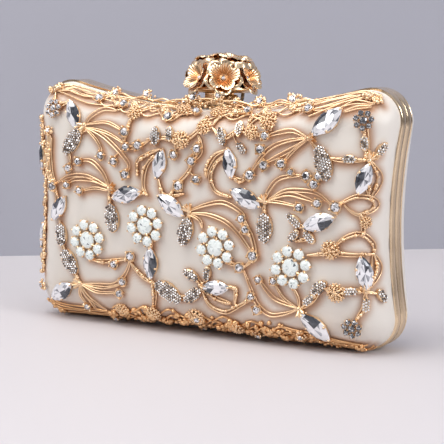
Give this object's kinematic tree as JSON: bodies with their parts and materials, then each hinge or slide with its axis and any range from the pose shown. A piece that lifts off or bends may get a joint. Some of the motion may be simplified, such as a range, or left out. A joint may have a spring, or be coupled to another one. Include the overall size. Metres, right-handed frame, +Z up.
{
  "type": "evening box clutch",
  "caption": "Hard-shell evening clutch that opens along its bottom edge, with satin-covered dished shells, a flower-cluster clasp and a jewelled wire filigree on the front.",
  "frame": {"origin": "middle of the footprint, on the plane that the clutch stands on; the seam plane lies 1.85 mm behind it", "axes": "+X along the clutch's width; the jewelled front faces -Y; +Z up, towards the clasp"},
  "size_m": [0.204, 0.0566, 0.1429],
  "materials": {
    "frame_metal": "light gold plated steel, brushed band with polished edges",
    "gold_cast": "light alloy castings, warm gold plated and polished",
    "steel": "bright steel",
    "shell_plastic": "moulded shell, unpainted",
    "satin": "ivory satin over thin foam",
    "lining": "matt woven lining",
    "clear_stone": "faceted, foil-backed",
    "opal_stone": "milky cabochon",
    "smoky_stone": "faceted, smoky, foil-backed"
  },
  "bodies": {
    "rear_half": {"clasp_bracket": "gold_cast", "rear_frame": "frame_metal", "hinge_leaf_rear": "frame_metal", "chain_lug_left": "frame_metal", "chain_lug_right": "frame_metal", "hinge_pin": "steel", "clasp_pin": "steel", "clasp_spring": "steel", "rear_shell": "shell_plastic", "rear_cover": "satin", "rear_lining": "lining"},
    "front_half": {"front_frame": "frame_metal", "front_shell": "shell_plastic", "front_cover": "satin", "front_lining": "lining", "hinge_leaf_front": "frame_metal", "catch_tongue": "steel", "filigree_net": "gold_cast", "top_garland": "gold_cast", "bottom_garland": "gold_cast", "left_garland": "gold_cast", "gold_blossoms": "gold_cast", "stone_cups": "gold_cast", "marquise_settings": "gold_cast", "leaf_plates": "gold_cast", "flower_plates": "gold_cast", "round_stones": "clear_stone", "marquise_stones": "clear_stone", "pave_grains": "clear_stone", "opal_flower_1": "opal_stone", "opal_flower_2": "opal_stone", "opal_flower_3": "opal_stone", "opal_flower_4": "opal_stone", "smoky_flower_1": "smoky_stone", "smoky_flower_2": "smoky_stone", "smoky_flower_3": "smoky_stone"},
    "clasp": {"clasp_plate": "gold_cast", "knob_core": "gold_cast", "rose_front_left": "gold_cast", "rose_front_right": "gold_cast", "rose_left": "gold_cast", "rose_right": "gold_cast", "rose_back_left": "gold_cast", "rose_back_right": "gold_cast", "rose_top_left": "gold_cast", "rose_top_right": "gold_cast", "rose_crystals": "clear_stone"}
  },
  "joints": [
    {"name": "shell_hinge", "type": "hinge", "parent": "rear_half", "child": "front_half", "pos_m": [0, 0.00185, 0.00175], "axis": [1, 0, 0], "range_deg": [0, 70], "deforming": ["catch_tongue"]},
    {"name": "clasp_tilt", "type": "hinge", "parent": "rear_half", "child": "clasp", "pos_m": [0, 0.00605, 0.1186], "axis": [-1, 0, 0], "range_deg": [0, 22], "stiffness_Nm_per_rad": 0.06, "springref_deg": -17.19, "deforming": ["clasp_spring"]}
  ]
}
